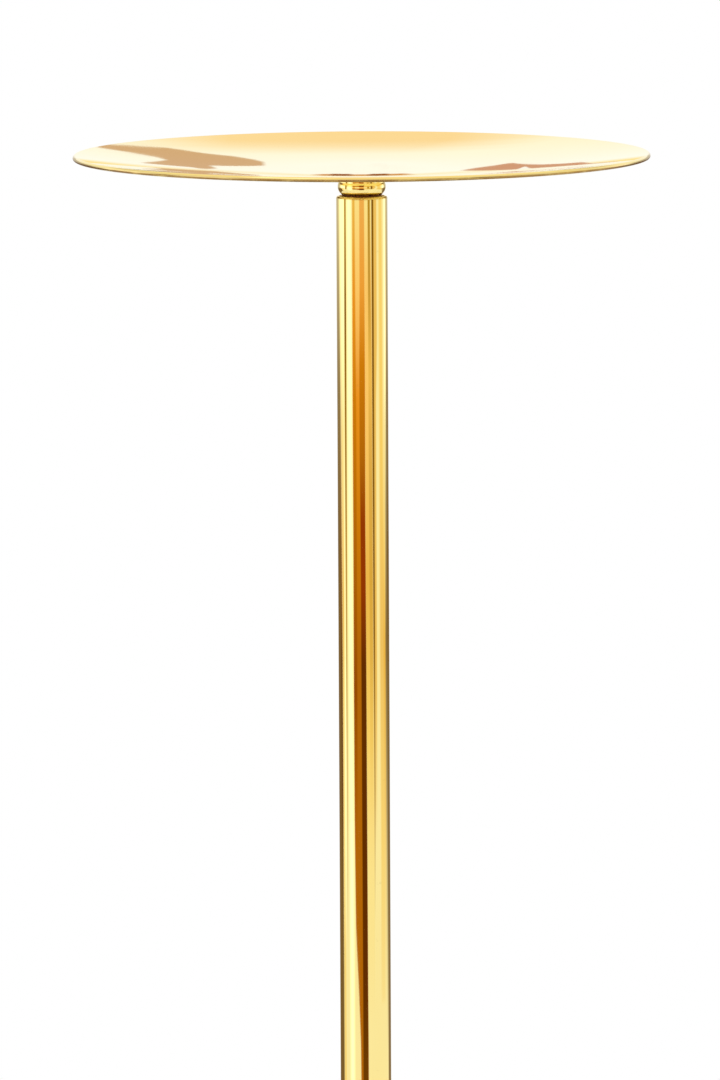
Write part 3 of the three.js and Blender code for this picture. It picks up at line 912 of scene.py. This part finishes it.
# Cards that stand round the stand, by distance and softness of their edges in degrees. Each
# row, going up, is a height, the azimuths of the card's left and right edges, a tone and how
# solid it is. Azimuth 0 is towards the viewer, and it grows to the viewer's right. A card that
# is solid in its last row runs straight on up.
ROUND_CARDS = {
    "left_edge": (2.15, 4, (
        (0.02, -168, -113, "bark", 1), (0.45, -168, -114, "bark", 1),
        (0.62, -168, -117, "bark", 1), (0.74, -168, -121, "bark", 0.9),
        (0.82, -168, -127, "bark", 0.7), (0.88, -168, -131, "bark", 0.5),
    )),
    "left_shade": (2.1, 3, (
        (0.30, -122, -113, "umber", 0), (0.42, -124, -113, "umber", 0.7),
        (0.54, -125, -113, "umber", 0.9), (0.66, -124, -114, "walnut", 0.5),
        (0.76, -124, -116, "walnut", 0),
    )),
    "left_gold": (2.15, 3, (
        (0.02, -112, -98, "straw", 0.8), (0.45, -112, -99, "straw", 0.7),
        (0.58, -112, -97, "gold", 0.9), (0.70, -113, -97, "straw", 0.5),
        (0.78, -113, -97, "straw", 0),
    )),
    "left_glare": (2.1, 5, (
        (0.32, -101, -89, "glare", 0), (0.46, -101, -89, "glare", 0.8),
        (0.60, -100, -90, "glare", 0.5), (0.72, -104, -90, "glare", 0.2),
        (0.82, -114, -89, "glare", 0.8), (0.90, -120, -88, "glare", 1),
    )),
    "left_line": (2.0, 1.5, (
        (0.34, -89, -83, "olive", 0), (0.46, -89, -82, "olive", 0.5),
        (0.66, -89, -80, "olive", 1), (0.82, -89, -78, "moss", 1),
        (0.89, -87, -78, "olive", 1),
    )),
    "left_window": (2.15, 6, board("glare", ((0.02, -72, -52),))),
    "door": (2.15, 1.5, (
        (0.02, -14, 13, "walnut", 1), (0.24, -22, 13, "walnut", 1),
        (0.28, -30, 12, "walnut", 1), (0.33, -42, 12, "walnut", 1),
        (0.42, -46, 11, "walnut", 1), (0.54, -46, 11, "walnut", 1),
        (0.64, -45, 10, "amber", 1), (0.74, -46, 11, "honey", 1),
        (0.82, -46, 11, "apricot", 1), (0.90, -46, 11, "cream", 1),
    )),
    "door_left_post": (2.1, 2.5, (
        (0.32, -40, -34, "walnut", 0), (0.40, -45, -33, "walnut", 1),
        (0.52, -47, -31, "chestnut", 1), (0.64, -46, -30, "walnut", 1),
        (0.74, -46, -30, "amber", 1), (0.82, -45, -32, "honey", 1),
        (0.90, -44, -33, "gold", 1),
    )),
    "door_right_post": (2.1, 2, (
        (0.02, -11, 12, "moss", 1), (0.30, -11, 11, "umber", 1),
        (0.54, -12, 10, "umber", 1), (0.60, -12, 9, "mahogany", 1),
        (0.65, -13, 8, "mahogany", 1), (0.70, -15, 9, "walnut", 1),
        (0.77, -15, 10, "amber", 1), (0.83, -12, 10, "honey", 0.8),
        (0.90, -12, 10, "honey", 0.7),
    )),
    "right_panel": (2.15, 2, (
        (0.26, 13, 46, "cream", 0), (0.36, 12, 45, "cream", 0.8),
        (0.48, 11, 43, "straw", 1), (0.60, 10, 43, "gold", 1),
        (0.72, 11, 43, "apricot", 1), (0.82, 11, 42, "apricot", 1),
        (0.89, 10, 42, "cream", 1),
    )),
    "right_stripe": (2.1, 2, (
        (0.42, 28, 41, "gold", 0), (0.54, 27, 42, "olive", 0.3),
        (0.68, 26, 42, "olive", 0.45), (0.76, 26, 42, "gold", 0.8),
        (0.83, 26, 37, "olive", 0.8), (0.90, 26, 36, "olive", 1),
    )),
    "right_line": (2.0, 1.5, (
        (0.36, 45, 50, "olive", 0), (0.46, 45, 51, "olive", 0.9),
        (0.58, 44, 52, "moss", 1), (0.82, 43, 53, "moss", 1),
        (0.89, 43, 53, "moss", 1),
    )),
    "right_beside": (2.1, 2.5, (
        (0.40, 52, 61, "gold", 0), (0.52, 51, 61, "gold", 0.9),
        (0.74, 51, 62, "gold", 0.9), (0.79, 51, 68, "gold", 0.9),
        (0.90, 51, 68, "gold", 0.85),
    )),
    "right_glow": (2.1, 5, (
        (0.28, 80, 104, "straw", 0.3), (0.40, 80, 104, "straw", 0.8),
        (0.56, 78, 106, "gold", 0.8), (0.72, 80, 102, "straw", 1),
        (0.90, 80, 100, "straw", 0.9),
    )),
    "right_far": (2.15, 4, (
        (0.28, 103, 119, "straw", 0), (0.42, 102, 118, "gold", 0.7),
        (0.54, 100, 118, "gold", 1), (0.62, 100, 118, "straw", 0.9),
        (0.74, 102, 118, "straw", 0),
    )),
    "right_shade": (2.1, 4, (
        (0.24, 118, 130, "bark", 0), (0.40, 117, 130, "bark", 0.6),
        (0.56, 115, 130, "bark", 0.95), (0.66, 117, 130, "bark", 0.6),
        (0.75, 119, 130, "bark", 0),
    )),
    "right_glare": (2.1, 4, (
        (0.72, 114, 128, "glare", 0), (0.80, 113, 128, "glare", 0.9),
        (1.40, 112, 129, "glare", 1),
    )),
    "right_edge": (2.15, 4, (
        (0.02, 128, 168, "bark", 0.9), (0.62, 127, 168, "bark", 1),
        (0.74, 129, 168, "bark", 0.9), (0.82, 131, 168, "bark", 0.7),
        (0.89, 132, 168, "bark", 0.5),
    )),
}

# Cards behind the stand that the pan mirrors, by depth and softness of their edges. Each row
# is a height, the left and right edges in metres across, a tone and how solid it is.
BACK_CARDS = {
    "far_wall": (1.15, 0.02, board("daylight", ((1.115, -0.2, 0.2), (1.5, -0.2, 0.2)))),
    "left_board": (1.0, 0.0015, board("blush", (
        (1.150, -0.091, -0.088), (1.158, -0.096, -0.082), (1.167, -0.122, -0.083),
        (1.179, -0.117, -0.085), (1.183, -0.115, -0.056), (1.207, -0.105, -0.055),
        (1.224, -0.109, -0.059), (1.246, -0.121, -0.068), (1.262, -0.137, -0.081),
        (1.270, -0.139, -0.086), (1.280, -0.129, -0.092), (1.287, -0.118, -0.098),
    ))),
    "right_board": (1.0, 0.0015, board("rust", (
        (1.099, 0.123, 0.130), (1.110, 0.109, 0.149), (1.124, 0.093, 0.132),
        (1.141, 0.068, 0.127), (1.151, 0.058, 0.125), (1.156, 0.061, 0.112),
        (1.163, 0.065, 0.101), (1.176, 0.076, 0.091), (1.188, 0.083, 0.085),
    ))),
    "right_board_notch": (0.99, 0.001, board("white", (
        (1.126, 0.0895, 0.0975), (1.152, 0.0925, 0.0935),
    ))),
    "warm_ceiling": (1.1, 0.03, (
        (1.278, -0.100, 0.050, "peach", 0), (1.310, -0.098, 0.055, "peach", 0.35),
        (1.338, -0.095, 0.062, "peach", 0.7), (1.372, -0.092, 0.072, "peach", 1),
        (1.470, -0.088, 0.076, "peach", 0.9),
    )),
    "warm_sill": (1.1, 0.01, (
        (0.90, -0.19, 0.19, "lemon", 1), (1.122, -0.19, 0.19, "lemon", 1),
        (1.160, -0.19, 0.19, "lemon", 0),
    )),
    "sill_board": (1.02, 0.004, (
        (1.096, -0.028, 0.034, "amber", 0), (1.108, -0.028, 0.034, "amber", 0.9),
        (1.150, -0.026, 0.027, "amber", 0.9), (1.160, -0.024, 0.024, "amber", 0),
    )),
    "sill_knob_left": (1.0, 0.002, (
        (1.100, -0.019, -0.004, "chestnut", 0), (1.107, -0.019, -0.005, "chestnut", 0.95),
        (1.157, -0.018, -0.006, "chestnut", 0.95), (1.163, -0.018, -0.007, "chestnut", 0),
    )),
    "sill_knob_right": (1.0, 0.002, (
        (1.098, 0.003, 0.018, "chestnut", 0), (1.105, 0.004, 0.017, "chestnut", 0.95),
        (1.157, 0.005, 0.016, "chestnut", 0.95), (1.163, 0.005, 0.015, "chestnut", 0),
    )),
}

# Flat cards over the floor and under the ceiling, by height. Each row is a distance from the
# column, then as for the cards round the stand.
FLAT_CARDS = {
    "rug": (0.01, 0.01, (
        (0.16, -180, 180, "bark", 0), (0.24, -180, 180, "bark", 0.9),
        (0.45, -180, 180, "bark", 0.9), (0.70, -180, 180, "bark", 0),
    )),
    "ceiling": (2.8, 0.01, (
        (0.01, -180, 180, "peach", 0.6), (0.70, -180, 180, "peach", 0.6),
        (1.80, -180, 180, "cream", 0.9), (2.60, -180, 180, "oatmeal", 0.75),
        (3.40, -180, 180, "oatmeal", 0),
    )),
    "left_softbox": (2.75, 2, board("glare", ((0.7, -75, -15), (1.5, -62, -28)))),
    "right_softbox": (2.75, 2, board("daylight", ((0.8, 110, 165), (1.6, 120, 155)))),
}


def on_circle(distance, azimuth, height):
    turn = math.radians(azimuth)
    return distance * math.sin(turn), -distance * math.cos(turn), height


def on_plane(depth, across, height):
    return across, depth, height


def on_level(height, azimuth, distance):
    return on_circle(distance, azimuth, height)


# Each kind of card, the widest step between its columns of points, the height to which its
# solid cards run on (0 for none), and what turns its own coordinates into a place.
CARD_KINDS = (
    (ROUND_CARDS, 6, 1.4, on_circle),
    (BACK_CARDS, 1, 0, on_plane),
    (FLAT_CARDS, 6, 0, on_level),
)
NARROWEST = 2.5  # an edge fades over no more than the card's width divided by this


def card(name, where, soft, rows, step, run_on, put):
    """A card that only mirrors show. Its first and last columns of points are clear."""
    if rows[-1][-1] and rows[-1][0] < run_on:
        rows = (*rows, (run_on, *rows[-1][1:]))
    columns = 4 + math.ceil(max(right - left for _, left, right, _, _ in rows) / step)
    vertices, faces, tones = [], [], []
    for height, left, right, tone, solid in rows:
        soften = min(soft, (right - left) / NARROWEST)
        for column in range(columns):
            clear = column in (0, columns - 1)
            if clear:
                across = left - soften if column == 0 else right + soften
            else:
                way = (column - 1) / (columns - 3)
                across = left + soften + way * (right - left - 2 * soften)
            vertices.append(put(where, across, height))
            tones.append((*TONES[tone], 0 if clear else solid))
    for row in range(len(rows) - 1):
        for column in range(columns - 1):
            low, high = row * columns + column, (row + 1) * columns + column
            faces.append((low, low + 1, high + 1, high))
    mesh = new_mesh(name, vertices, faces)
    attribute = mesh.color_attributes.new("tone", "FLOAT_COLOR", "POINT")
    for point, tone in zip(attribute.data, tones):
        point.color = tone
    piece = in_scene(mesh)
    for ray in ("camera", "diffuse", "transmission", "volume_scatter", "shadow"):
        setattr(piece, f"visible_{ray}", False)
    return piece


def card_light():
    """The cards' own light: their tone, as solid as they say."""
    graph = material("card_light")
    tone = graph.add("ShaderNodeAttribute", {"attribute_name": "tone"}, out="Color")
    solid = graph.add("ShaderNodeAttribute", {"attribute_name": "tone"}, out="Alpha")
    light = graph.principled(
        base_color=(0, 0, 0), specular_ior_level=0.0, emission_color=tone, emission_strength=1.0
    )
    return graph.surface(graph.mix_shader(solid, graph.add("ShaderNodeBsdfTransparent"), light))


def seen_ray(graph):
    """1 for rays that show the room itself: straight on, in metal or through glass."""
    kinds = ("Is Camera Ray", "Is Glossy Ray", "Is Transmission Ray")
    first, second, third = (graph.add("ShaderNodeLightPath", out=kind) for kind in kinds)
    return first.maths("MAXIMUM", first.maths("MAXIMUM", first, second), third)


def pale_floor(studio):
    """Plain pale matt floor that fades out before its edge."""
    graph = material("pale_floor")
    grain = graph.noise((40, 40, 40), 3)
    tint = graph.mix(grain, scaled(studio.floor, 0.97), studio.floor)
    matt = graph.principled(base_color=tint, roughness=0.9, specular_ior_level=0.1)
    start, end = scaled(FLOOR_FADE, studio.floor_radius)
    fade = graph.radius().between(start, end)
    return graph.surface(graph.mix_shader(fade, matt, graph.add("ShaderNodeBsdfTransparent")))


def lamp(name, place, power):
    """A soft square lamp aimed at the middle of the stand. Mirrors don't show it."""
    data = bpy.data.lights.new(name, "AREA")
    data.size, data.energy = LAMP_SIZE, power
    made = in_scene(data)
    made.location = place
    made.rotation_euler = (LAMP_AIM - made.location).to_track_quat("-Z", "Y").to_euler()
    made.visible_glossy = False


class CANDLESTAND_OT_camera(Operator):
    """Sets the camera to look slightly down on the pan"""

    bl_idname = "candlestand.camera"
    bl_label = "Camera"

    def execute(self, context):
        studio = context.scene.candle_stand.studio
        data = bpy.data.cameras.new("camera")
        data.sensor_width, data.lens = studio.sensor / MM, studio.lens / MM
        data.clip_start, data.clip_end = 0.1, 60
        camera = in_scene(data)
        rim = ends("pan")[1] - studio.drop
        away = Vector((0, -math.cos(studio.elevation), math.sin(studio.elevation)))
        camera.location = Vector((-studio.aside, 0, rim)) + studio.distance * away
        turn = Matrix.Rotation(math.pi / 2 - studio.tilt, 3, "X")
        camera.rotation_euler = (turn @ Matrix.Rotation(-studio.roll, 3, "Z")).to_euler()
        context.scene.camera = camera
        return {"FINISHED"}


class CANDLESTAND_OT_studio(Operator):
    """Lays the floor and sets up the white room, its lamps and its cards"""

    bl_idname = "candlestand.studio"
    bl_label = "Studio"

    def execute(self, context):
        scene, studio = context.scene, context.scene.candle_stand.studio
        scene.view_settings.view_transform = "Standard"
        scene.world = bpy.data.worlds.new("white_room")
        graph = Graph(scene.world)
        white = (1, 1, 1)
        dim = graph.add("ShaderNodeBackground", None, {0: white, 1: studio.ambient})
        full = graph.add("ShaderNodeBackground", None, {0: white, 1: 1.0})
        room = graph.mix_shader(seen_ray(graph), dim, full)
        graph.add("ShaderNodeOutputWorld", None, {"Surface": room})

        edge = arc(0, 0, studio.floor_radius, 0, 2 * math.pi, steps=FLOOR_SIDES)[:-1]
        mesh = new_mesh("floor", [(*point, 0) for point in edge], [tuple(range(FLOOR_SIDES))])
        mesh.materials.append(pale_floor(studio))
        floor = in_scene(mesh)

        light = card_light()
        for cards, step, run_on, put in CARD_KINDS:
            for name, (where, soft, rows) in cards.items():
                piece = card(name, where, soft, rows, step, run_on, put)
                piece.data.materials.append(light)
        for name, (place, power) in LAMPS.items():
            lamp(name, place, power)
        return {"FINISHED"}


class CANDLESTAND_PT_settings(Panel):
    bl_label = "Candle stand"
    bl_space_type = "VIEW_3D"
    bl_region_type = "UI"
    bl_category = "Candle stand"

    def draw(self, context):
        stand = context.scene.candle_stand
        for operator in OPERATORS:
            self.layout.operator(operator.bl_idname)
        for part in ("pan", "neck", "column", "base", "finish", "studio"):
            box = self.layout.box()
            box.label(text=part.title())
            group = getattr(stand, part)
            for name in group.__annotations__:
                box.prop(group, name)


OPERATORS = (
    CANDLESTAND_OT_camera,
    CANDLESTAND_OT_pan,
    CANDLESTAND_OT_neck,
    CANDLESTAND_OT_column,
    CANDLESTAND_OT_base,
    CANDLESTAND_OT_felt,
    CANDLESTAND_OT_hardware,
    CANDLESTAND_OT_studio,
)
CLASSES = (
    PanSettings, NeckSettings, ColumnSettings, BaseSettings, FinishSettings, StudioSettings,
    StandSettings, *OPERATORS, CANDLESTAND_PT_settings,
)


def register():
    for made in CLASSES:
        bpy.utils.register_class(made)
    bpy.types.Scene.candle_stand = PointerProperty(type=StandSettings)


def unregister():
    del bpy.types.Scene.candle_stand
    for made in reversed(CLASSES):
        bpy.utils.unregister_class(made)


def main():
    register()
    for operator in OPERATORS:
        family, name = operator.bl_idname.split(".")
        getattr(getattr(bpy.ops, family), name)()


if __name__ == "__main__":
    main()
